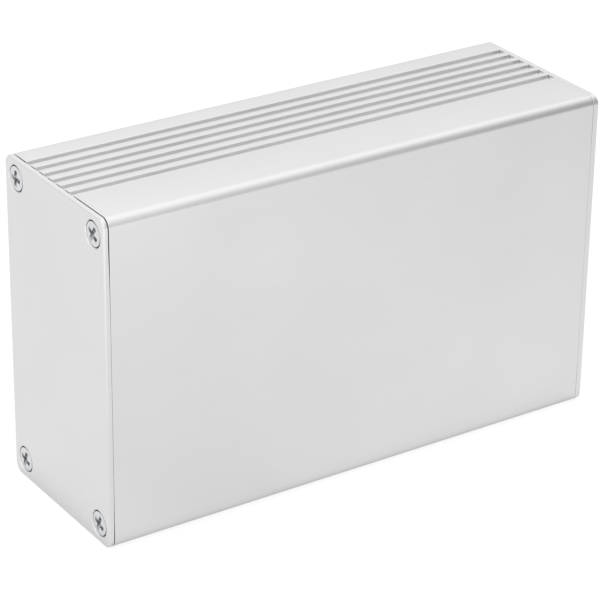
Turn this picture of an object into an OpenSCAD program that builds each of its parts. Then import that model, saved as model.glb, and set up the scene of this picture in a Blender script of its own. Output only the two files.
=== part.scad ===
// Extruded aluminium project box with a split body.
// Two identical shells, turned half a turn about the length, meet in a tongue and groove.
// Two end plates close them, each held by four countersunk screws in the shells' channels.
// X runs along the extrusion, Y through the depth and Z up. The origin is under the middle of the box.

/* [Box] */
// Length of the two shells, without the end plates
shell_l = 110; // [50:1:200]
// Depth over the two wide faces
box_w = 37; // [36:0.5:60]
// Height over the two narrow faces
box_h = 68; // [40:0.5:120]
// Radius of the four long edges, also of the end plates' corners
edge_r = 2; // [0.5:0.1:3]

/* [Shell walls] */
// Thickness of a wide face
wall_t = 1.6; // [1.2:0.1:2.4]
// Thickness of a narrow face
rail_t = 2.4; // [2:0.1:3]

/* [Grooves] */
// Grooves along the outside of a shell's long flange
groove_n = 6; // [1:1:6]
// Distance from one groove to the next
groove_pitch = 3.25; // [2.6:0.05:3.4]
// Width of a groove
groove_w = 1.8; // [1:0.1:2]
// Depth of a groove
groove_d = 0.9; // [0.4:0.1:1.2]
// Rounding along the edges of the ridges
ridge_r = 0.25; // [0.1:0.05:0.3]

/* [Seam] */
// Distance of the seam from the wide face of the shell with the short flange
seam_in = 12.75; // [12.25:0.25:14]
// Thickness of the tongue along the short flange
tongue_t = 1; // [0.8:0.1:1.4]
// Reach of the tongue past the seam
tongue_l = 1.9; // [1:0.1:3]
// Wall around the groove that takes the tongue
socket_wall = 1; // [0.8:0.1:1.4]
// Clearance around the tongue
seam_gap = 0.1; // [0.05:0.05:0.2]

/* [Card guides] */
// Distance of the card's middle from the wide face of its shell
card_in = 9.4; // [9:0.1:9.6]
// Width of the slot, for a 1.6 mm card
card_slot = 1.8; // [1.4:0.1:2.2]
// Depth of the slot
guide_d = 2; // [1.4:0.1:3]
// Thickness of the rib on the slot's outer side, and of the free inner rib
guide_wall = 1.1; // [0.8:0.1:1.2]

/* [End plates] */
// Thickness of an end plate
plate_t = 1.2; // [1.2:0.1:2.5]

/* [Screws] */
// Distance of a screw's axis from the wide face and from the narrow face
screw_in = 4; // [3.8:0.1:4.2]
// Outer diameter of the screw's thread
shank_d = 3; // [2.5:0.1:3.2]
// Diameter of the countersunk head
head_d = 5.2; // [4.8:0.1:5.6]
// Height of the straight rim of the head
rim_h = 0.1; // [0.05:0.05:0.2]
// Length of the screw over its head
screw_l = 8; // [5:0.5:16]
// Length of the blunt point
point_l = 1.2; // [0.6:0.1:2]
// Clearance between the head and its countersink
head_gap = 0.12; // [0.05:0.01:0.2]
// Clearance between the thread and its channel
thread_gap = 0.05; // [0.02:0.01:0.1]
// Wall of the screw channel
channel_wall = 1.1; // [0.8:0.1:1.2]
// Width of the channel's mouth
mouth_w = 1.6; // [1:0.1:2]

/* [Cross recess] */
// Width over the wings of the recess
cross_w = 3; // [2:0.1:3.2]
// Thickness of a wing
wing_t = 0.7; // [0.5:0.05:0.9]
// Depth of the recess
cross_h = 1.4; // [0.8:0.1:1.8]
// Turn of the recess from one screw to the next, in degrees
cross_turn = 37; // [0:1:90]

/* [Hidden] */
$fn = 48;
// Overcut, so that cuts pass cleanly through a face
over = 1;
// Outer faces of the end plates
box_l = shell_l + 2 * plate_t;
// Height of the inner side of a narrow face over the middle of the box
rail_v = box_h / 2 - rail_t;
// Depth that a long flange covers
long_u = box_w - seam_in;
// Screw channel
bore_d = shank_d + 2 * thread_gap;
channel_r = bore_d / 2 + channel_wall;
screw_y = box_w / 2 - screw_in;
screw_z = box_h / 2 - screw_in;
// Cone of the head: 90 degrees, and no deeper than the plate
cone_h = min((head_d - shank_d) / 2, plate_t - rim_h);
// Groove that takes the tongue
socket_h = tongue_t + 2 * seam_gap;
socket_l = tongue_l + seam_gap;

// Rounded rectangle about the middle of the box
module outline() {
    square([box_w - 2 * edge_r, box_h], center = true);
    square([box_w, box_h - 2 * edge_r], center = true);
    for (y = [-1, 1], z = [-1, 1])
        translate([y * (box_w / 2 - edge_r), z * (box_h / 2 - edge_r)])
            circle(r = edge_r);
}

// Places a 2D shape: its x counts from the shell's wide face, its y from the middle of the box
module from_face() {
    translate([-box_w / 2, 0])
        children();
}

// Part of the section that one shell covers: a short flange above and a long one below
module reach() {
    translate([-over, 0])
        square([seam_in + over, box_h]);
    translate([-over, -box_h])
        square([long_u + over, box_h]);
}

// Cuts the corner between a flat top at height 0 and a side at x = 0, leaving a round edge
module edge_cut() {
    difference() {
        translate([-ridge_r, -ridge_r])
            square([ridge_r + over, ridge_r + over]);
        translate([-ridge_r, -ridge_r])
            circle(r = ridge_r);
    }
}

// Groove in a flat top at height 0, centred on x = 0
module groove() {
    translate([-groove_w / 2, -groove_d])
        square([groove_w, groove_d + over]);
    for (side = [0, 1])
        mirror([side, 0])
            intersection() {
                translate([-groove_w / 2, 0])
                    edge_cut();
                translate([-groove_w / 2 - ridge_r, -ridge_r])
                    square([ridge_r + groove_w / 4, ridge_r + over]);
            }
}

// Two ribs on the inside of a narrow face, with the card's slot between them.
// The rib on the far side of the slot ends at far_end.
module card_guide(far_end) {
    slot_start = card_in - card_slot / 2;
    slot_end = card_in + card_slot / 2;
    translate([slot_start - guide_wall, rail_v - guide_d])
        square([guide_wall, guide_d + rail_t / 2]);
    translate([slot_end, rail_v - guide_d])
        square([far_end - slot_end, guide_d + rail_t / 2]);
}

// Tongue that leaves the short flange under the outer skin of the other shell
module tongue() {
    translate([seam_in - over / 2, rail_v - seam_gap - tongue_t])
        square([tongue_l + over / 2, tongue_t]);
}

// Lip and web inside the edge of the long flange, around the other shell's tongue
module socket() {
    translate([long_u - socket_l - socket_wall, -rail_v])
        square([socket_wall, socket_h + socket_wall]);
    translate([long_u - socket_l - socket_wall, -rail_v + socket_h])
        square([socket_l + socket_wall - 2 * seam_gap, socket_wall]);
    // Root of the web in the flange
    translate([long_u - socket_l - socket_wall, -rail_v - rail_t / 3])
        square([socket_wall, rail_t / 2]);
}

// Wall of a screw channel, filled towards the corner of the shell
module channel_wall_section() {
    translate([screw_in, screw_z])
        circle(r = channel_r);
    translate([wall_t / 2, screw_z])
        square([screw_in - wall_t / 2, screw_in - rail_t / 2]);
}

// Bore of a screw channel and its mouth towards the inside of the shell
module channel_bore() {
    translate([screw_in, screw_z]) {
        circle(d = bore_d);
        rotate(-45)
            translate([0, -mouth_w / 2])
                square([channel_r + over, mouth_w]);
    }
}

// Grooves along the outside of the long flange. The first one lies open at the seam.
module grooves() {
    for (i = [0 : groove_n - 1])
        translate([long_u - groove_w / 2 - i * groove_pitch, -box_h / 2])
            mirror([0, 1])
                groove();
    translate([long_u - groove_w / 2, -box_h / 2 - over])
        square([groove_w, groove_d + over]);
}

// Section of one shell
module shell_section() {
    difference() {
        union() {
            difference() {
                intersection() {
                    outline();
                    from_face() reach();
                }
                from_face()
                    translate([wall_t, -rail_v])
                        square([box_w, 2 * rail_v]);
            }
            from_face() {
                for (side = [0, 1])
                    mirror([0, side])
                        channel_wall_section();
                card_guide(seam_in);
                mirror([0, 1])
                    card_guide(card_in + card_slot / 2 + guide_wall);
                tongue();
                socket();
            }
        }
        from_face() {
            for (side = [0, 1])
                mirror([0, side])
                    channel_bore();
            grooves();
            translate([seam_in, box_h / 2])
                edge_cut();
        }
    }
}

// One shell as it stands at the front of the box
module shell() {
    rotate([90, 0, 90])
        linear_extrude(height = shell_l, center = true)
            shell_section();
}

module front_shell() {
    color([0.84, 0.85, 0.86])
        translate([0, 0, box_h / 2])
            shell();
}

module back_shell() {
    color([0.80, 0.81, 0.83])
        translate([0, 0, box_h / 2])
            rotate([180, 0, 0])
                shell();
}

// Countersunk hole through a plate whose outer face is at height 0
module screw_hole() {
    mouth_r = head_d / 2 + head_gap;
    throat_r = shank_d / 2 + head_gap;
    rotate_extrude()
        polygon([
            [0, over], [mouth_r, over], [mouth_r, -rim_h],
            [throat_r, -rim_h - cone_h],
            [throat_r, -plate_t - over], [0, -plate_t - over]
        ]);
}

// End plate with its outer face at height 0
module end_plate() {
    difference() {
        translate([0, 0, -plate_t])
            linear_extrude(height = plate_t)
                outline();
        for (y = [-1, 1], z = [-1, 1])
            translate([y * screw_y, z * screw_z, 0])
                screw_hole();
    }
}

// Turns a piece drawn along Z so that it faces out of an end: side is -1 for left, 1 for right
module on_end(side) {
    translate([side * box_l / 2, 0, box_h / 2])
        rotate([90, 0, side * 90])
            children();
}

module left_end_plate() {
    color([0.86, 0.87, 0.87])
        on_end(-1)
            end_plate();
}

module right_end_plate() {
    color([0.86, 0.87, 0.87])
        on_end(1)
            end_plate();
}

// Recess for a cross-head driver, narrowing towards its bottom
module cross_recess(turn) {
    intersection() {
        translate([0, 0, -cross_h])
            cylinder(h = cross_h + over, r1 = cross_w / 6, r2 = cross_w / 6 + (cross_h + over) * cross_w / 3 / cross_h);
        rotate([0, 0, turn])
            union() {
                cube([2 * cross_w, wing_t, 2 * cross_h], center = true);
                cube([wing_t, 2 * cross_w, 2 * cross_h], center = true);
            }
    }
}

// Countersunk screw with the top of its head at height 0
module screw(turn) {
    difference() {
        rotate_extrude()
            polygon([
                [0, 0], [head_d / 2, 0], [head_d / 2, -rim_h],
                [shank_d / 2, -rim_h - cone_h],
                [shank_d / 2, point_l - screw_l], [shank_d / 4, -screw_l], [0, -screw_l]
            ]);
        cross_recess(turn);
    }
}

// Screw at one corner of an end: y is -1 at the front and 1 at the back, z is 1 at the top
module end_screw(side, y, z) {
    turn = cross_turn * (2 * side + y + z / 2);
    color([0.72, 0.73, 0.75])
        on_end(side)
            translate([side * y * screw_y, z * screw_z, 0])
                screw(turn);
}

front_shell();
back_shell();
left_end_plate();
right_end_plate();
end_screw(-1, -1, 1);  // screw_left_front_top
end_screw(-1, -1, -1);  // screw_left_front_bottom
end_screw(-1, 1, 1);  // screw_left_back_top
end_screw(-1, 1, -1);  // screw_left_back_bottom
end_screw(1, -1, 1);  // screw_right_front_top
end_screw(1, -1, -1);  // screw_right_front_bottom
end_screw(1, 1, 1);  // screw_right_back_top
end_screw(1, 1, -1);  // screw_right_back_bottom
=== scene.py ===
import math
import bpy
from mathutils import Euler, Matrix, Vector


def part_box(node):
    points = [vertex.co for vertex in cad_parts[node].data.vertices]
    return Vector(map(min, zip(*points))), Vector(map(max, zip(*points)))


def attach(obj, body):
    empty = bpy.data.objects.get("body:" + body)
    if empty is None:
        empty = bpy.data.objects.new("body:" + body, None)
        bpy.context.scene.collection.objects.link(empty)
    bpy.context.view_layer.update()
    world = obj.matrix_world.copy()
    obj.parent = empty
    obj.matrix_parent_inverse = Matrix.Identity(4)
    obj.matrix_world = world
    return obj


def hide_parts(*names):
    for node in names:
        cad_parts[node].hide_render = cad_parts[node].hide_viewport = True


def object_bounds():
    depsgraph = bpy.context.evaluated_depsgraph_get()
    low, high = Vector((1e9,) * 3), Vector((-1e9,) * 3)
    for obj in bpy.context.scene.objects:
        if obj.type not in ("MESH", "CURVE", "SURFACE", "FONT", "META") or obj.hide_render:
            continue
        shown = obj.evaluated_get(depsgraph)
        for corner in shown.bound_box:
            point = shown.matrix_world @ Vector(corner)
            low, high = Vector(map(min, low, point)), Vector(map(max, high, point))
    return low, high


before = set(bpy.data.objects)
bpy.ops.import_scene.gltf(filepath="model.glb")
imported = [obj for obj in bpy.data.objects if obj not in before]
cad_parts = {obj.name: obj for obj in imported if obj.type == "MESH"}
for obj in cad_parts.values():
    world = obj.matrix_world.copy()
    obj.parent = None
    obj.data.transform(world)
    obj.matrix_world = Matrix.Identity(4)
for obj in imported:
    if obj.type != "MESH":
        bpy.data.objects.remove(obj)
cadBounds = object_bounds()
mm = 0.001
print("frame loaded:", len(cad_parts), "nodes")

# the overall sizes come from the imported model
frontLow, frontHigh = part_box("front_shell")
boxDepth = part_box("back_shell")[1].y - frontLow.y
boxHeight = frontHigh.z - frontLow.z
middleZ = (frontHigh.z + frontLow.z) / 2
shellEndX = frontHigh.x
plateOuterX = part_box("right_end_plate")[1].x
plateThickness = plateOuterX - shellEndX
hair = 0.01 * mm  # how near counts as touching
sliver = 0.002 * mm  # points nearer than this are one point
noiseLow, noiseHigh = 0.3, 0.7  # a noise texture mostly stays between these


def linear(hexColour):
    # sRGB hex to the linear colour that the shaders take
    channels = [int(hexColour[i:i + 2], 16) / 255 for i in (1, 3, 5)]
    return [c / 12.92 if c <= 0.04045 else ((c + 0.055) / 1.055) ** 2.4 for c in channels] + [1]


def addNode(tree, kind, settings=None, inputs=None):
    # an input is a value, the output socket that feeds it, or a list of such sockets
    node = tree.nodes.new(kind)
    for name, value in (settings or {}).items():
        setattr(node, name, value)
    for socket, value in (inputs or {}).items():
        sources = value if isinstance(value, list) else [value]
        if isinstance(sources[0], bpy.types.NodeSocket):
            for source in sources:
                tree.links.new(source, node.inputs[socket])
        else:
            node.inputs[socket].default_value = value
    return node


def emptyMaterial(name):
    material = bpy.data.materials.new(name)
    material.use_nodes = True
    material.node_tree.nodes.clear()
    return material


def shadeByAngle(mesh, degrees):
    # smooth over rounded edges, crisp where faces meet at more than this angle
    mesh.polygons.foreach_set("use_smooth", [True] * len(mesh.polygons))
    mesh.set_sharp_from_angle(angle=math.radians(degrees))


def newObject(name, mesh):
    piece = bpy.data.objects.new(name, mesh)
    bpy.context.scene.collection.objects.link(piece)
    return piece


def satinAnodised(name, finish):
    # clear anodised aluminium, etched before the bath: a soft metallic sheen over a very fine grain
    material = emptyMaterial(name)
    tree = material.node_tree
    place = addNode(tree, "ShaderNodeTexCoord").outputs["Object"]
    # etched grain, drawn coarser than the real 0.05 mm so that it shows
    grain = addNode(tree, "ShaderNodeTexNoise", {}, {
        "Vector": place, "Scale": 1 / finish["grain"], "Detail": 3.0, "Roughness": 0.6,
    }).outputs["Fac"]
    # faint lines left by the die, long in X
    along = addNode(tree, "ShaderNodeMapping", {}, {
        "Vector": place,
        "Scale": (1 / finish["lineLength"], 1 / finish["lineWidth"], 1 / finish["lineWidth"]),
    }).outputs["Vector"]
    lines = addNode(tree, "ShaderNodeTexNoise", {}, {
        "Vector": along, "Scale": 1.0, "Detail": 4.0, "Roughness": 0.55,
    }).outputs["Fac"]
    cloud = addNode(tree, "ShaderNodeTexNoise", {}, {
        "Vector": place, "Scale": 1 / finish["cloud"], "Detail": 2.0,
    }).outputs["Fac"]
    # the oxide's tone drifts a little from place to place
    drift = addNode(tree, "ShaderNodeMath", {"operation": "MULTIPLY_ADD"}, {
        0: lines, 1: finish["lineShare"], 2: cloud,
    }).outputs["Value"]
    tone = addNode(tree, "ShaderNodeMapRange", {}, {
        "Value": drift, "From Min": noiseLow, "From Max": noiseHigh + finish["lineShare"],
    }).outputs["Result"]
    colour = addNode(tree, "ShaderNodeMix", {"data_type": "RGBA"}, {
        "Factor": tone, "A": linear(finish["dark"]), "B": linear(finish["light"]),
    }).outputs["Result"]
    rough = addNode(tree, "ShaderNodeMapRange", {}, {
        "Value": grain, "From Min": noiseLow, "From Max": noiseHigh,
        "To Min": finish["roughness"] - finish["roughnessSpread"],
        "To Max": finish["roughness"] + finish["roughnessSpread"],
    }).outputs["Result"]
    lineBump = addNode(tree, "ShaderNodeBump", {}, {
        "Height": lines, "Strength": finish["lineBump"], "Distance": finish["bumpHeight"],
    }).outputs["Normal"]
    bump = addNode(tree, "ShaderNodeBump", {}, {
        "Height": grain, "Normal": lineBump,
        "Strength": finish["grainBump"], "Distance": finish["bumpHeight"],
    }).outputs["Normal"]
    surface = addNode(tree, "ShaderNodeBsdfPrincipled", {}, {
        "Base Color": colour, "Metallic": 1.0, "Roughness": rough, "Normal": bump,
    })
    addNode(tree, "ShaderNodeOutputMaterial", {}, {"Surface": surface.outputs["BSDF"]})
    return material


shellFinish = {
    "dark": "#dfdfdf", "light": "#e6e6e6", "roughness": 0.30, "roughnessSpread": 0.02,
    "grain": 0.30 * mm, "grainBump": 0.06, "cloud": 28 * mm, "bumpHeight": 0.02 * mm,
    "lineWidth": 0.45 * mm, "lineLength": 60 * mm, "lineShare": 0.5, "lineBump": 0.06,
}
# sheet has no die lines, only a finer unevenness the same in every direction
plateFinish = dict(shellFinish, lineLength=0.6 * mm, lineWidth=0.6 * mm, lineBump=0.04)
# painted shade: the countersink's walls are drawn darker and duller, for the shade in the gap round
# the screw heads
countersinkShadeFinish = dict(plateFinish, dark="#8c8d8e", light="#a0a1a2", roughness=0.42)


def platedSteel(name, finish):
    # bright nickel plate on a cold-headed steel screw: sharp reflections, slightly uneven
    material = emptyMaterial(name)
    tree = material.node_tree
    place = addNode(tree, "ShaderNodeTexCoord").outputs["Object"]
    ripple = addNode(tree, "ShaderNodeTexNoise", {}, {
        "Vector": place, "Scale": 1 / finish["ripple"], "Detail": 2.0,
    }).outputs["Fac"]
    colour = addNode(tree, "ShaderNodeMix", {"data_type": "RGBA"}, {
        "Factor": ripple, "A": linear(finish["dark"]), "B": linear(finish["light"]),
    }).outputs["Result"]
    rough = addNode(tree, "ShaderNodeMapRange", {}, {
        "Value": ripple, "From Min": noiseLow, "From Max": noiseHigh,
        "To Min": finish["smooth"], "To Max": finish["dull"],
    }).outputs["Result"]
    bump = addNode(tree, "ShaderNodeBump", {}, {
        "Height": ripple, "Strength": finish["bump"], "Distance": finish["bumpHeight"],
    }).outputs["Normal"]
    surface = addNode(tree, "ShaderNodeBsdfPrincipled", {}, {
        "Base Color": colour, "Metallic": 1.0, "Roughness": rough, "Normal": bump,
    })
    addNode(tree, "ShaderNodeOutputMaterial", {}, {"Surface": surface.outputs["BSDF"]})
    return material


screwFinish = {
    "dark": "#cfd0d2", "light": "#eaebec", "smooth": 0.14, "dull": 0.26,
    "ripple": 0.6 * mm, "bump": 0.5, "bumpHeight": 0.03 * mm,
}
# painted shade: the recess and the side under the head's edge are drawn darker and rougher, for the
# shade that falls there
recessShadeFinish = dict(screwFinish, dark="#9c9d9f", light="#bdbec0", smooth=0.35, dull=0.5)

shellAluminium = satinAnodised("satin anodised extrusion", shellFinish)
plateAluminium = satinAnodised("satin anodised sheet", plateFinish)
countersinkShadeAluminium = satinAnodised("countersink with painted shade", countersinkShadeFinish)
screwSteel = platedSteel("bright plated steel", screwFinish)
recessShadeSteel = platedSteel("steel with painted shade in the recess", recessShadeFinish)
print("materials ready")

shell = {
    "edgeRadius": 2 * mm, "wall": 1.6 * mm, "rail": 2.4 * mm, "innerRadius": 0.15 * mm,
    "grooves": 6, "groovePitch": 3.25 * mm, "grooveWidth": 1.8 * mm, "grooveDepth": 0.9 * mm,
    "grooveRoot": 0.3 * mm, "ridgeRadius": 0.15 * mm,
    "seam": 12.75 * mm, "seamGap": 0.1 * mm, "seamFoot": 0.3 * mm,
    "tongue": 1 * mm, "tongueReach": 1.9 * mm, "socketWall": 1 * mm,
    "cardIn": 9.4 * mm, "cardSlot": 1.8 * mm, "guideDepth": 2 * mm, "guideWall": 1.1 * mm,
    "screwIn": 4 * mm, "channelBore": 1.55 * mm, "channelRadius": 2.65 * mm,
    "channelMouth": 1.6 * mm, "mouthAngle": 45,
    "leftSawnEdge": 0.06 * mm, "rightSawnEdge": 0.03 * mm, "shadeAngle": 28,
}


def arc(centre, radius, start, end, step=12):
    # angles in degrees; step is the most that one side turns
    count = max(2, math.ceil(abs(end - start) / step))
    angles = [math.radians(start + (end - start) * i / count) for i in range(count + 1)]
    return [(centre[0] + radius * math.cos(a), centre[1] + radius * math.sin(a)) for a in angles]


def roundCorners(corners, step=12):
    # each corner is (x, y, radius); a corner with no radius stays sharp
    points = []
    count = len(corners)
    for i, (x, y, radius) in enumerate(corners):
        here = Vector((x, y))
        if radius == 0:
            points.append((x, y))
            continue
        back = (Vector(corners[i - 1][:2]) - here).normalized()
        ahead = (Vector(corners[(i + 1) % count][:2]) - here).normalized()
        half = back.angle(ahead) / 2
        centre = here + (back + ahead).normalized() * radius / math.sin(half)
        first = here + back * radius / math.tan(half) - centre
        last = here + ahead * radius / math.tan(half) - centre
        start = math.degrees(math.atan2(first.y, first.x))
        turn = math.degrees(math.atan2(last.y, last.x)) - start
        turn = (turn + 180) % 360 - 180
        points += arc(centre, radius, start, start + turn, step)
    return points


def channelPoints(s, screwZ, railZ):
    # round the lower screw channel, from the narrow face's inside to the wide face's inside
    centre = (s["screwIn"], -screwZ)
    outer, inner, middle = s["channelRadius"], s["channelBore"], s["mouthAngle"]
    fromRail = math.degrees(math.asin((screwZ - railZ) / outer))
    toWall = math.degrees(math.acos((s["wall"] - s["screwIn"]) / outer))
    outerHalf = math.degrees(math.asin(s["channelMouth"] / 2 / outer))
    innerHalf = math.degrees(math.asin(s["channelMouth"] / 2 / inner))
    points = arc(centre, outer, fromRail, middle - outerHalf)
    points += arc(centre, inner, middle - innerHalf, middle + innerHalf - 360)
    points += arc(centre, outer, middle + outerHalf, toWall)
    return [(x, y, 0) for x, y in points]


def shellSection(s):
    # x counts from the wide face inwards, y from the middle of the height; the long flange is below
    top = boxHeight / 2
    railZ = top - s["rail"]
    screwZ = top - s["screwIn"]
    grooveZ = top - s["grooveDepth"]
    guideZ = railZ - s["guideDepth"]
    longReach = boxDepth - s["seam"]
    slotNear = s["cardIn"] - s["cardSlot"] / 2
    slotFar = s["cardIn"] + s["cardSlot"] / 2
    guideNear, guideFar = slotNear - s["guideWall"], slotFar + s["guideWall"]
    small, root, ridge = s["innerRadius"], s["grooveRoot"], s["ridgeRadius"]
    corners = [(0, -top, s["edgeRadius"])]
    # grooves along the outside of the long flange; the last one runs out at the seam
    for i in reversed(range(s["grooves"])):
        far = longReach - i * s["groovePitch"]
        near = far - s["grooveWidth"]
        corners += [(near, -top, ridge), (near, -grooveZ, root)]
        if i:
            corners += [(far, -grooveZ, root), (far, -top, ridge)]
    corners += [
        (longReach - s["seamFoot"], -grooveZ, root / 2),
        (longReach, -grooveZ - s["seamFoot"], 0), (longReach, -railZ, 0),
    ]
    # socket for the other shell's tongue
    socketEnd = longReach - s["tongueReach"] - s["seamGap"]
    socketBack = socketEnd - s["socketWall"]
    socketLip = -railZ + s["tongue"] + 2 * s["seamGap"]
    socketTop = socketLip + s["socketWall"]
    lipEnd = longReach - 2 * s["seamGap"]
    corners += [
        (socketEnd, -railZ, 0), (socketEnd, socketLip, 0), (lipEnd, socketLip, 0),
        (lipEnd, socketTop, small), (socketBack, socketTop, small), (socketBack, -railZ, small),
    ]
    # card guide and screw channel on the long flange
    corners += [
        (guideFar, -railZ, small), (guideFar, -guideZ, small), (slotFar, -guideZ, small),
        (slotFar, -railZ, 0), (slotNear, -railZ, 0), (slotNear, -guideZ, small),
        (guideNear, -guideZ, small), (guideNear, -railZ, 0),
    ]
    channel = channelPoints(s, screwZ, railZ)
    corners += channel + [(x, -y, 0) for x, y, radius in reversed(channel)]
    # card guide, tongue and edge of the short flange
    tongueTop = railZ - s["seamGap"]
    tongueFoot = tongueTop - s["tongue"]
    tongueEnd = s["seam"] + s["tongueReach"]
    corners += [
        (guideNear, railZ, 0), (guideNear, guideZ, small), (slotNear, guideZ, small),
        (slotNear, railZ, 0), (slotFar, railZ, 0), (slotFar, guideZ, small),
        (s["seam"], guideZ, small), (s["seam"], tongueFoot, 0), (tongueEnd, tongueFoot, small),
        (tongueEnd, tongueTop, small), (s["seam"], tongueTop, 0),
        (s["seam"], top, ridge), (0, top, s["edgeRadius"]),
    ]
    return roundCorners(corners)


def inset(points, amount):
    # moves an outline that runs anticlockwise inwards; a very sharp corner is held back
    leastCosine = 0.5
    moved = []
    count = len(points)
    for i in range(count):
        before, here, after = (Vector(points[(i + k) % count]) for k in (-1, 0, 1))
        a = (here - before).normalized().orthogonal()
        b = (after - here).normalized().orthogonal()
        mean = (a + b).normalized()
        moved.append(here + mean * amount / max(leastCosine, mean.dot(a)))
    return moved


def prism(name, points, stations):
    # an outline in Y and Z swept along X; each station is (x, inset)
    count = len(points)
    rings = [[(x, p[0], p[1]) for p in inset(points, amount)] for x, amount in stations]
    verts = [v for ring in rings for v in ring]
    faces = [list(range(count))[::-1], [len(verts) - count + i for i in range(count)]]
    for base in range(0, len(verts) - count, count):
        for i in range(count):
            j = (i + 1) % count
            faces.append((base + i, base + j, base + count + j, base + count + i))
    mesh = bpy.data.meshes.new(name)
    mesh.from_pydata(verts, [], faces)
    mesh.validate()
    return mesh


section = shellSection(shell)
leftCut, rightCut = shell["leftSawnEdge"], shell["rightSawnEdge"]
stations = [
    (-shellEndX, leftCut), (leftCut - shellEndX, 0),
    (shellEndX - rightCut, 0), (shellEndX, rightCut),
]
# the back shell is the front one turned half a turn about the length
for shellNode, facing in (("front_shell", 1), ("back_shell", -1)):
    placed = [(facing * (x - boxDepth / 2), middleZ + facing * y) for x, y in section]
    mesh = prism(shellNode + "_skin", placed, stations)
    mesh.materials.append(shellAluminium)
    shadeByAngle(mesh, shell["shadeAngle"])
    piece = newObject(shellNode + "_skin", mesh)
    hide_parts(shellNode)
    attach(piece, "box")
print("shells ready:", len(section), "points in the section")

plate = {
    "cornerRadius": 2 * mm, "cornerStep": 9, "edgeParts": 12,
    "outerRound": {"left_end_plate": 0.36 * mm, "right_end_plate": 0.06 * mm},
    "innerRound": 0.06 * mm, "flat": 0.06 * mm,
    # how far the plate's edge stands off the shells, and how that closes along the height
    "gap": {"left_end_plate": 0.26 * mm, "right_end_plate": 0.05 * mm}, "gapDepth": 1.1 * mm,
    "gapMiddle": 0.25, "gapCentre": 0.48, "gapTop": 0.9, "gapPower": 6,
    "screwIn": 4 * mm, "holeRadius": 1.8 * mm, "mouthRadius": 2.62 * mm,
    "mouthRim": 0.12 * mm, "mouthBevel": 0.22 * mm,
    # the cutter goes past both faces of the plate
    "cutterBehind": 1 * mm, "cutterAhead": 0.5 * mm, "shadeAngle": 40,
}
screwPlaces = {
    (y, z): Vector((0, y * (boxDepth / 2 - plate["screwIn"]),
                    middleZ + z * (boxHeight / 2 - plate["screwIn"])))
    for y in (-1, 1) for z in (-1, 1)
}


def turned(name, profile, segments=64):
    # revolves (height, radius) pairs about X, closed at both ends
    verts, faces = [], []
    for height, radius in profile:
        for i in range(segments):
            a = 2 * math.pi * i / segments
            verts.append((height, radius * math.cos(a), radius * math.sin(a)))
    for base in range(0, len(verts) - segments, segments):
        for i in range(segments):
            j = (i + 1) % segments
            faces.append((base + i, base + j, base + segments + j, base + segments + i))
    faces += [list(range(segments))[::-1], [len(verts) - segments + i for i in range(segments)]]
    mesh = bpy.data.meshes.new(name)
    mesh.from_pydata(verts, [], faces)
    return mesh


def plateMesh(name, side, gap, outerRound):
    p = plate
    # the outline, with its straight edges in parts so that the gap can close along them
    parts = p["edgeParts"]
    steps = [2 * i / parts - 1 for i in range(1, parts)]
    corners = [(-1, -1)] + [(k, -1) for k in steps] + [(1, -1)] + [(1, k) for k in steps]
    corners += [(-x, -y) for x, y in corners]
    points = roundCorners([
        (x * boxDepth / 2, middleZ + y * boxHeight / 2,
         p["cornerRadius"] if abs(x) == abs(y) == 1 else 0) for x, y in corners
    ], p["cornerStep"])
    # an extra ring beside each rounding keeps the rim between them flat
    r, q = outerRound, p["innerRound"]
    quarter = [math.radians(a) for a in (0, 22.5, 45, 67.5, 90)]
    front = [(plateOuterX - r + r * math.cos(a), r - r * math.sin(a)) for a in quarter]
    front.append((plateOuterX - r - p["flat"], 0))
    # the back is let in all round, so a fine dark gap shows between plate and shell
    gapX = shellEndX + gap
    back = [(gapX + q + p["flat"], 0)]
    back += [(gapX + q - q * math.sin(a), q - q * math.cos(a)) for a in quarter[::2]]
    back += [(gapX, p["gapDepth"]), (shellEndX, p["gapDepth"])]
    mesh = prism(name, points, [(side * x, amount) for x, amount in (front + back)][::-side])
    # the gap is widest near the top and bottom, and closes towards the middle of the height
    for vertex in mesh.vertices:
        if shellEndX + hair < side * vertex.co.x < gapX + q + p["flat"] + hair:
            away = vertex.co.z / boxHeight - p["gapCentre"]
            away /= p["gapTop"] - p["gapCentre"] if away > 0 else p["gapCentre"]
            closing = (1 - p["gapMiddle"]) * (1 - min(1, away ** p["gapPower"]))
            vertex.co.x -= side * gap * closing
    body = newObject(name, mesh)
    # the cutters: a through hole, the countersink, a short rim and the mouth's bevel
    coneDepth = p["mouthRadius"] - p["holeRadius"]
    bevel, rimDepth, ahead = p["mouthBevel"], p["mouthBevel"] + p["mouthRim"], p["cutterAhead"]
    profile = [
        (shellEndX - p["cutterBehind"], p["holeRadius"]),
        (plateOuterX - rimDepth - coneDepth, p["holeRadius"]),
        (plateOuterX - rimDepth, p["mouthRadius"]), (plateOuterX - bevel, p["mouthRadius"]),
        (plateOuterX + ahead, p["mouthRadius"] + bevel + ahead),
    ]
    if side < 0:
        profile = [(-x, radius) for x, radius in reversed(profile)]
    cutters = []
    for place in screwPlaces.values():
        cutter = newObject("cutter", turned("cutter", profile))
        cutter.data.transform(Matrix.Translation(place))
        cutters.append(cutter)
        modifier = body.modifiers.new("countersink", "BOOLEAN")
        modifier.object = cutter
        modifier.solver = "EXACT"
    graph = bpy.context.evaluated_depsgraph_get()
    result = bpy.data.meshes.new_from_object(body.evaluated_get(graph))
    for thing in [body] + cutters:
        bpy.data.objects.remove(thing)
    result.name = name
    return result


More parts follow.
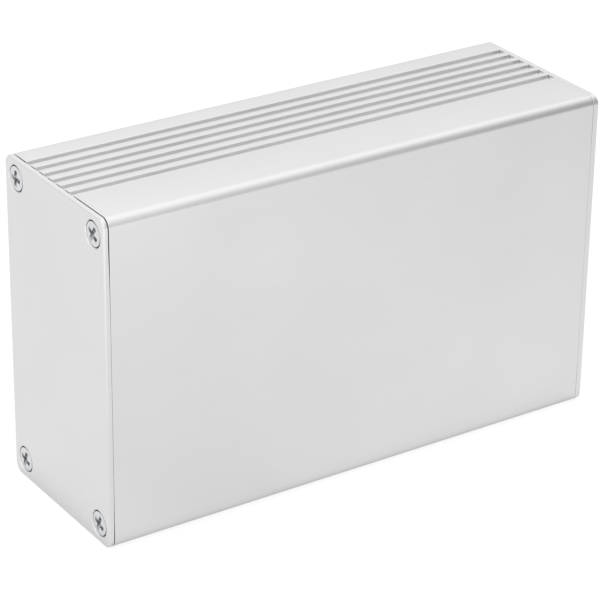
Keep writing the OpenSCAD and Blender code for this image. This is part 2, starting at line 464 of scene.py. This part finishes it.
for plateNode, side, body in (
    ("left_end_plate", -1, "left_plate"), ("right_end_plate", 1, "right_plate"),
):
    mesh = plateMesh(
        plateNode + "_skin", side, plate["gap"][plateNode], plate["outerRound"][plateNode])
    mesh.materials.clear()
    mesh.materials.append(plateAluminium)
    mesh.materials.append(countersinkShadeAluminium)
    # faces down in the countersinks take the darker material, which paints the shade there
    for face in mesh.polygons:
        nearest = min((face.center - place).yz.length for place in screwPlaces.values())
        depth = plateOuterX - side * face.center.x
        inside = plate["mouthBevel"] + hair < depth < plateThickness - hair
        if inside and nearest < plate["mouthRadius"] + hair:
            face.material_index = 1
    shadeByAngle(mesh, plate["shadeAngle"])
    piece = newObject(plateNode + "_skin", mesh)
    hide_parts(plateNode)
    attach(piece, body)
print("end plates ready")

# each entry is a named input of the screw's node tree
screw = {
    "Head Radius": 2.4 * mm, "Crown Radius": 2.26 * mm, "Crown Height": 0.1 * mm,
    "Edge Drop": 0.05 * mm, "Rim Height": 0.3 * mm, "Cone Height": 0.8 * mm,
    "Neck Radius": 1.5 * mm, "Core Radius": 1.22 * mm, "Core Length": 5.55 * mm,
    "Point Length": 1.2 * mm, "Tip Radius": 0.55 * mm,
    # the ridge's crest reaches the helix radius plus the ridge radius, which is 1.5 mm
    "Thread Pitch": 0.6 * mm, "Helix Radius": 1.24 * mm, "Ridge Radius": 0.26 * mm,
    "Thread Length": 5.29 * mm,
    # the recess cutter stands as far above the head as it goes in
    "Recess Depth": 0.8 * mm, "Wing Width": 0.9 * mm, "Wing Length": 7 * mm,
    "Cutter Height": 1.6 * mm, "Cutter Foot Radius": 0.58 * mm, "Cutter Top Radius": 2.92 * mm,
}
screwShadeAngle = 25
crownShares = (1.0, 0.7, 0.4, 0.0)  # radii of the crown's steps, from its edge to its middle


def screwTree():
    # a countersunk cross-head screw, made with its tip at the origin and then put in place
    tree = bpy.data.node_groups.new("screw", "GeometryNodeTree")
    face = tree.interface
    face.new_socket("Geometry", in_out="OUTPUT", socket_type="NodeSocketGeometry")
    for name, value in screw.items():
        socket = face.new_socket(name, in_out="INPUT", socket_type="NodeSocketFloat")
        socket.default_value = value
    for name in ("Turn", "Facing"):
        face.new_socket(name, in_out="INPUT", socket_type="NodeSocketFloat")
    face.new_socket("Place", in_out="INPUT", socket_type="NodeSocketVector")
    for name in ("Material", "Recess Shade Material"):
        face.new_socket(name, in_out="INPUT", socket_type="NodeSocketMaterial")
    given = addNode(tree, "NodeGroupInput").outputs

    # the turned body from the tip up: each step's height, lower and upper radius, and whether
    # its side takes the recess's painted shade, as under the head's edge
    steps = [
        (given["Point Length"], given["Tip Radius"], given["Core Radius"], False),
        (given["Core Length"], given["Core Radius"], given["Core Radius"], False),
        (0.0, given["Core Radius"], given["Neck Radius"], False),
        (given["Cone Height"], given["Neck Radius"], given["Head Radius"], False),
        (given["Rim Height"], given["Head Radius"], given["Head Radius"], True),
        (given["Edge Drop"], given["Head Radius"], given["Crown Radius"], False),
    ]
    # a low crown, which drops with the square of the radius
    for outer, inner in zip(crownShares, crownShares[1:]):
        rise = addNode(tree, "ShaderNodeMath", {"operation": "MULTIPLY"}, {
            0: given["Crown Height"], 1: outer ** 2 - inner ** 2,
        }).outputs["Value"]
        steps.append((rise, outer, inner, False))
    disc = addNode(tree, "GeometryNodeMeshCircle", {"fill_type": "NGON"}, {
        "Vertices": 64, "Radius": given["Tip Radius"],
    }).outputs["Mesh"]
    spot = addNode(tree, "GeometryNodeInputPosition").outputs["Position"]
    body, top, length = disc, True, 0.0
    for height, low, high, dull in steps:
        up = addNode(tree, "ShaderNodeCombineXYZ", {}, {"Z": height}).outputs["Vector"]
        drawn = addNode(tree, "GeometryNodeExtrudeMesh", {"mode": "FACES"}, {
            "Mesh": body, "Selection": top, "Offset": up, "Offset Scale": 1.0, "Individual": False,
        }).outputs
        body, top = drawn["Mesh"], drawn["Top"]
        widen = addNode(tree, "ShaderNodeMath", {"operation": "DIVIDE"}, {
            0: high, 1: low,
        }).outputs["Value"]
        widen = addNode(tree, "ShaderNodeCombineXYZ", {}, {
            "X": widen, "Y": widen, "Z": 1.0,
        }).outputs["Vector"]
        wider = addNode(tree, "ShaderNodeVectorMath", {"operation": "MULTIPLY"}, {
            0: spot, 1: widen,
        }).outputs["Vector"]
        body = addNode(tree, "GeometryNodeSetPosition", {}, {
            "Geometry": body, "Selection": top, "Position": wider,
        }).outputs["Geometry"]
        # the side under the head's edge is marked for the painted shade
        if dull:
            body = addNode(tree, "GeometryNodeStoreNamedAttribute", {
                "data_type": "BOOLEAN", "domain": "FACE",
            }, {
                "Geometry": body, "Selection": drawn["Side"], "Name": "dull", "Value": True,
            }).outputs["Geometry"]
        length = addNode(tree, "ShaderNodeMath", {"operation": "ADD"}, {
            0: length, 1: height,
        }).outputs["Value"]
    # the disc closes the tip, and the merge also closes the middle of the crown
    under = addNode(tree, "GeometryNodeFlipFaces", {}, {"Mesh": disc}).outputs["Mesh"]
    solid = addNode(tree, "GeometryNodeJoinGeometry", {}, {
        "Geometry": [body, under],
    }).outputs["Geometry"]
    solid = addNode(tree, "GeometryNodeMergeByDistance", {}, {
        "Geometry": solid, "Distance": sliver,
    }).outputs["Geometry"]

    # the driver's recess: a cross of two bars, within a cone that narrows with depth
    bars = []
    for x, y in (("Wing Length", "Wing Width"), ("Wing Width", "Wing Length")):
        size = addNode(tree, "ShaderNodeCombineXYZ", {}, {
            "X": given[x], "Y": given[y], "Z": given["Wing Length"],
        }).outputs["Vector"]
        bars.append(addNode(tree, "GeometryNodeMeshCube", {}, {"Size": size}).outputs["Mesh"])
    cross = addNode(tree, "GeometryNodeMeshBoolean", {
        "operation": "UNION", "solver": "EXACT",
    }, {"Mesh 2": bars}).outputs["Mesh"]
    taper = addNode(tree, "GeometryNodeMeshCone", {"fill_type": "NGON"}, {
        "Vertices": 32, "Radius Top": given["Cutter Top Radius"],
        "Radius Bottom": given["Cutter Foot Radius"], "Depth": given["Cutter Height"],
    }).outputs["Mesh"]
    recess = addNode(tree, "GeometryNodeMeshBoolean", {
        "operation": "INTERSECT", "solver": "EXACT",
    }, {"Mesh 2": [cross, taper]}).outputs["Mesh"]
    recessFoot = addNode(tree, "ShaderNodeMath", {"operation": "SUBTRACT"}, {
        0: length, 1: given["Recess Depth"],
    }).outputs["Value"]
    lift = addNode(tree, "ShaderNodeCombineXYZ", {}, {"Z": recessFoot}).outputs["Vector"]
    spin = addNode(tree, "ShaderNodeCombineXYZ", {}, {"Z": given["Turn"]}).outputs["Vector"]
    recess = addNode(tree, "GeometryNodeTransform", {}, {
        "Geometry": recess, "Rotation": spin, "Translation": lift,
    }).outputs["Geometry"]
    # the recess's faces are marked for the painted shade too
    recess = addNode(tree, "GeometryNodeStoreNamedAttribute", {
        "data_type": "BOOLEAN", "domain": "FACE",
    }, {"Geometry": recess, "Name": "dull", "Value": True}).outputs["Geometry"]
    headed = addNode(tree, "GeometryNodeMeshBoolean", {
        "operation": "DIFFERENCE", "solver": "EXACT",
    }, {"Mesh 1": solid, "Mesh 2": recess}).outputs["Mesh"]
    headed = addNode(tree, "GeometryNodeMergeByDistance", {}, {
        "Geometry": headed, "Distance": sliver,
    }).outputs["Geometry"]

    # thread: a three-sided ridge along a helix round the core, from the point up
    turns = addNode(tree, "ShaderNodeMath", {"operation": "DIVIDE"}, {
        0: given["Thread Length"], 1: given["Thread Pitch"],
    }).outputs["Value"]
    helix = addNode(tree, "GeometryNodeCurveSpiral", {}, {
        "Resolution": 24, "Rotations": turns, "Height": given["Thread Length"],
        "Start Radius": given["Helix Radius"], "End Radius": given["Helix Radius"],
    }).outputs["Curve"]
    helix = addNode(tree, "GeometryNodeSetCurveNormal", {"mode": "Z_UP"}, {
        "Curve": helix,
    }).outputs["Curve"]
    ridge = addNode(tree, "GeometryNodeCurvePrimitiveCircle", {"mode": "RADIUS"}, {
        "Resolution": 3, "Radius": given["Ridge Radius"],
    }).outputs["Curve"]
    thread = addNode(tree, "GeometryNodeCurveToMesh", {}, {
        "Curve": helix, "Profile Curve": ridge, "Fill Caps": True,
    }).outputs["Mesh"]
    lift = addNode(tree, "ShaderNodeCombineXYZ", {}, {
        "Z": given["Point Length"],
    }).outputs["Vector"]
    thread = addNode(tree, "GeometryNodeTransform", {}, {
        "Geometry": thread, "Translation": lift,
    }).outputs["Geometry"]

    # a join's links count from the last, so the thread is named first to come after the head
    whole = addNode(tree, "GeometryNodeJoinGeometry", {}, {
        "Geometry": [thread, headed],
    }).outputs["Geometry"]
    # down by its length, so that the head's top is at the origin, then over and into place
    down = addNode(tree, "ShaderNodeMath", {"operation": "MULTIPLY"}, {
        0: length, 1: -1.0,
    }).outputs["Value"]
    down = addNode(tree, "ShaderNodeCombineXYZ", {}, {"Z": down}).outputs["Vector"]
    hung = addNode(tree, "GeometryNodeTransform", {}, {
        "Geometry": whole, "Translation": down,
    }).outputs["Geometry"]
    tilt = addNode(tree, "ShaderNodeCombineXYZ", {}, {"Y": given["Facing"]}).outputs["Vector"]
    placed = addNode(tree, "GeometryNodeTransform", {}, {
        "Geometry": hung, "Rotation": tilt, "Translation": given["Place"],
    }).outputs["Geometry"]
    plain = addNode(tree, "GeometryNodeRealizeInstances", {}, {
        "Geometry": placed,
    }).outputs["Geometry"]
    finished = addNode(tree, "GeometryNodeSetMaterial", {}, {
        "Geometry": plain, "Material": given["Material"],
    }).outputs["Geometry"]
    # the marked faces get the darker steel that paints the shade
    isPaintedShade = addNode(tree, "GeometryNodeInputNamedAttribute", {"data_type": "BOOLEAN"}, {
        "Name": "dull",
    }).outputs["Attribute"]
    finished = addNode(tree, "GeometryNodeSetMaterial", {}, {
        "Geometry": finished, "Selection": isPaintedShade, "Material": given["Recess Shade Material"],
    }).outputs["Geometry"]
    addNode(tree, "NodeGroupOutput", {}, {"Geometry": finished})
    return tree


def screwMesh(tree, name, values):
    holder = newObject(name, bpy.data.meshes.new(name))
    modifier = holder.modifiers.new("screw", "NODES")
    modifier.node_group = tree
    sockets = {
        item.name: item.identifier for item in tree.interface.items_tree if item.in_out == "INPUT"
    }
    for label, value in values.items():
        modifier[sockets[label]] = value
    graph = bpy.context.evaluated_depsgraph_get()
    mesh = bpy.data.meshes.new_from_object(holder.evaluated_get(graph))
    bpy.data.objects.remove(holder)
    return mesh


# how far each recess happened to stop when its screw was driven, in degrees
recessTurns = {
    "screw_left_back_top": -5, "screw_left_front_top": -32,
    "screw_left_back_bottom": -20, "screw_left_front_bottom": -22,
    "screw_right_back_top": 15, "screw_right_front_top": -20,
    "screw_right_back_bottom": 50, "screw_right_front_bottom": 3,
}
tree = screwTree()
for node, turn in recessTurns.items():
    sideWord, depthWord, heightWord = node.split("_")[1:]
    side = -1 if sideWord == "left" else 1
    corner = (-1 if depthWord == "front" else 1, -1 if heightWord == "bottom" else 1)
    place = screwPlaces[corner].copy()
    place.x = side * plateOuterX
    mesh = screwMesh(tree, node + "_skin", {
        "Turn": math.radians(turn), "Facing": side * math.radians(90), "Place": place,
        "Material": screwSteel, "Recess Shade Material": recessShadeSteel,
    })
    shadeByAngle(mesh, screwShadeAngle)
    piece = newObject(node + "_skin", mesh)
    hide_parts(node)
    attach(piece, node)
print("screws ready:", len(mesh.polygons), "faces each")

floorLook = {
    "colour": "#868686", "cameraGlow": 0.82, "glossGlow": 0.735, "size": 4.0, "drop": 0.02 * mm,
    "contact": 5 * mm, "contactFall": 0.33,
    "fadeFrom": 50 * mm, "fadeTo": 170 * mm, "fade": 0.13,
    "riseFrom": 90 * mm, "riseTo": 190 * mm, "rise": 0.26, "riseTowards": (-1, -1, 0),
}


def floorMaterial(look):
    # matt white paper; a small glow brings it to plain white for the camera and for gloss,
    # and keeps its shadow
    material = emptyMaterial("white studio paper")
    tree = material.node_tree
    paths = addNode(tree, "ShaderNodeLightPath").outputs
    gloss = addNode(tree, "ShaderNodeMath", {"operation": "MAXIMUM"}, {
        0: paths["Is Glossy Ray"], 1: paths["Is Transmission Ray"],
    }).outputs["Value"]
    # painted light: the glow that gloss rays see is made brighter at the front left and fainter
    # towards the right
    place = addNode(tree, "ShaderNodeTexCoord").outputs["Object"]
    toRight = addNode(tree, "ShaderNodeSeparateXYZ", {}, {"Vector": place}).outputs["X"]
    toFrontLeft = addNode(tree, "ShaderNodeVectorMath", {"operation": "DOT_PRODUCT"}, {
        0: place, 1: Vector(look["riseTowards"]).normalized(),
    }).outputs["Value"]
    even = addNode(tree, "ShaderNodeMapRange", {}, {
        "Value": toRight, "From Min": look["fadeFrom"], "From Max": look["fadeTo"],
        "To Min": look["glossGlow"], "To Max": look["glossGlow"] * (1 - look["fade"]),
    }).outputs["Result"]
    extra = addNode(tree, "ShaderNodeMapRange", {}, {
        "Value": toFrontLeft, "From Min": look["riseFrom"], "From Max": look["riseTo"],
        "To Min": 0.0, "To Max": look["rise"],
    }).outputs["Result"]
    lit = addNode(tree, "ShaderNodeMath", {"operation": "ADD"}, {
        0: even, 1: extra,
    }).outputs["Value"]
    # painted shade: close under the edges the glow that gloss rays see is dimmed by occlusion
    openness = addNode(tree, "ShaderNodeAmbientOcclusion", {"samples": 8}, {
        "Distance": look["contact"],
    }).outputs["AO"]
    openness = addNode(tree, "ShaderNodeMath", {"operation": "POWER"}, {
        0: openness, 1: look["contactFall"],
    }).outputs["Value"]
    lit = addNode(tree, "ShaderNodeMath", {"operation": "MULTIPLY"}, {
        0: lit, 1: openness,
    }).outputs["Value"]
    glossPart = addNode(tree, "ShaderNodeMath", {"operation": "MULTIPLY"}, {
        0: gloss, 1: lit,
    }).outputs["Value"]
    strength = addNode(tree, "ShaderNodeMath", {"operation": "MULTIPLY_ADD"}, {
        0: paths["Is Camera Ray"], 1: look["cameraGlow"], 2: glossPart,
    }).outputs["Value"]
    paper = addNode(tree, "ShaderNodeBsdfDiffuse", {}, {
        "Color": linear(look["colour"]),
    }).outputs["BSDF"]
    glow = addNode(tree, "ShaderNodeEmission", {}, {"Strength": strength}).outputs["Emission"]
    both = addNode(tree, "ShaderNodeAddShader", {}, {0: paper, 1: glow}).outputs["Shader"]
    addNode(tree, "ShaderNodeOutputMaterial", {}, {"Surface": both})
    return material


half = floorLook["size"] / 2
mesh = bpy.data.meshes.new("floor")
mesh.from_pydata(
    [(-half, -half, 0), (half, -half, 0), (half, half, 0), (-half, half, 0)], [], [(0, 1, 2, 3)])
mesh.materials.append(floorMaterial(floorLook))
floor = newObject("floor", mesh)
floor.location.z = cadBounds[0].z - floorLook["drop"]

# soft room light: brightest high up, plainer at the horizon, with dimmer patches and one brighter;
# a patch's turn counts from the front towards the right, all angles in degrees
roomLight = {
    "horizon": 1.0, "high": 1.26, "highFrom": 0.66, "zenithFall": 0.16,
    "fallToRight": 0.24, "fallFrom": 0.1, "fallTo": 0.8,
    "patches": [
        {"turn": 76, "height": 7, "inner": 27, "outer": 51, "gain": 0.08},
        {"turn": 215, "height": 18, "inner": 15, "outer": 55, "gain": 0.82},
        {"turn": 90, "height": 57, "inner": 8, "outer": 38, "gain": 1.22},
    ],
}
world = bpy.data.worlds.new("studio")
bpy.context.scene.world = world
world.use_nodes = True
tree = world.node_tree
tree.nodes.clear()
direction = addNode(tree, "ShaderNodeTexCoord").outputs["Generated"]
parts = addNode(tree, "ShaderNodeSeparateXYZ", {}, {"Vector": direction}).outputs
upward = addNode(tree, "ShaderNodeMapRange", {"interpolation_type": "SMOOTHSTEP"}, {
    "Value": parts["Z"], "From Max": roomLight["highFrom"],
    "To Min": roomLight["horizon"], "To Max": roomLight["high"],
}).outputs["Result"]
zenith = addNode(tree, "ShaderNodeMapRange", {"interpolation_type": "SMOOTHSTEP"}, {
    "Value": parts["Z"], "From Min": roomLight["highFrom"],
    "To Min": 1.0, "To Max": 1 - roomLight["zenithFall"],
}).outputs["Result"]
sideways = addNode(tree, "ShaderNodeMapRange", {}, {
    "Value": parts["X"], "From Min": roomLight["fallFrom"], "From Max": roomLight["fallTo"],
    "To Min": 1.0, "To Max": 1 - roomLight["fallToRight"],
}).outputs["Result"]
factors = [zenith, sideways]
for patch in roomLight["patches"]:
    turn, tall = math.radians(patch["turn"]), math.radians(patch["height"])
    middle = (math.sin(turn) * math.cos(tall), -math.cos(turn) * math.cos(tall), math.sin(tall))
    nearness = addNode(tree, "ShaderNodeVectorMath", {"operation": "DOT_PRODUCT"}, {
        0: direction, 1: middle,
    }).outputs["Value"]
    factors.append(addNode(tree, "ShaderNodeMapRange", {"interpolation_type": "SMOOTHSTEP"}, {
        "Value": nearness, "From Min": math.cos(math.radians(patch["outer"])),
        "From Max": math.cos(math.radians(patch["inner"])), "To Min": 1.0, "To Max": patch["gain"],
    }).outputs["Result"])
strength = upward
for factor in factors:
    strength = addNode(tree, "ShaderNodeMath", {"operation": "MULTIPLY"}, {
        0: strength, 1: factor,
    }).outputs["Value"]
background = addNode(tree, "ShaderNodeBackground", {}, {
    "Color": linear("#ffffff"), "Strength": strength,
})
addNode(tree, "ShaderNodeOutputWorld", {}, {"Surface": background.outputs["Background"]})

softbox = {"place": (0.35, -0.1, 1.0), "size": 0.9, "power": 0.15}
light = bpy.data.lights.new("overhead softbox", "AREA")
light.size, light.energy = softbox["size"], softbox["power"]
lamp = bpy.data.objects.new("overhead softbox", light)
lamp.location = softbox["place"]
towards = Vector((0, 0, middleZ)) - lamp.location
lamp.rotation_euler = towards.to_track_quat("-Z", "Y").to_euler()
bpy.context.scene.collection.objects.link(lamp)

cameraSetting = {
    "place": (-274.6 * mm, -408.0 * mm, 272.3 * mm), "turn": (63.787, -0.715, -33.427),
    "lens": 166.06, "sensor": 36,
}
lens = bpy.data.cameras.new("camera")
lens.lens, lens.sensor_width = cameraSetting["lens"], cameraSetting["sensor"]
camera = bpy.data.objects.new("camera", lens)
camera.location = cameraSetting["place"]
camera.rotation_euler = Euler([math.radians(a) for a in cameraSetting["turn"]])
bpy.context.scene.collection.objects.link(camera)
bpy.context.scene.camera = camera
bpy.context.scene.view_settings.view_transform = "Standard"
print("stage ready")
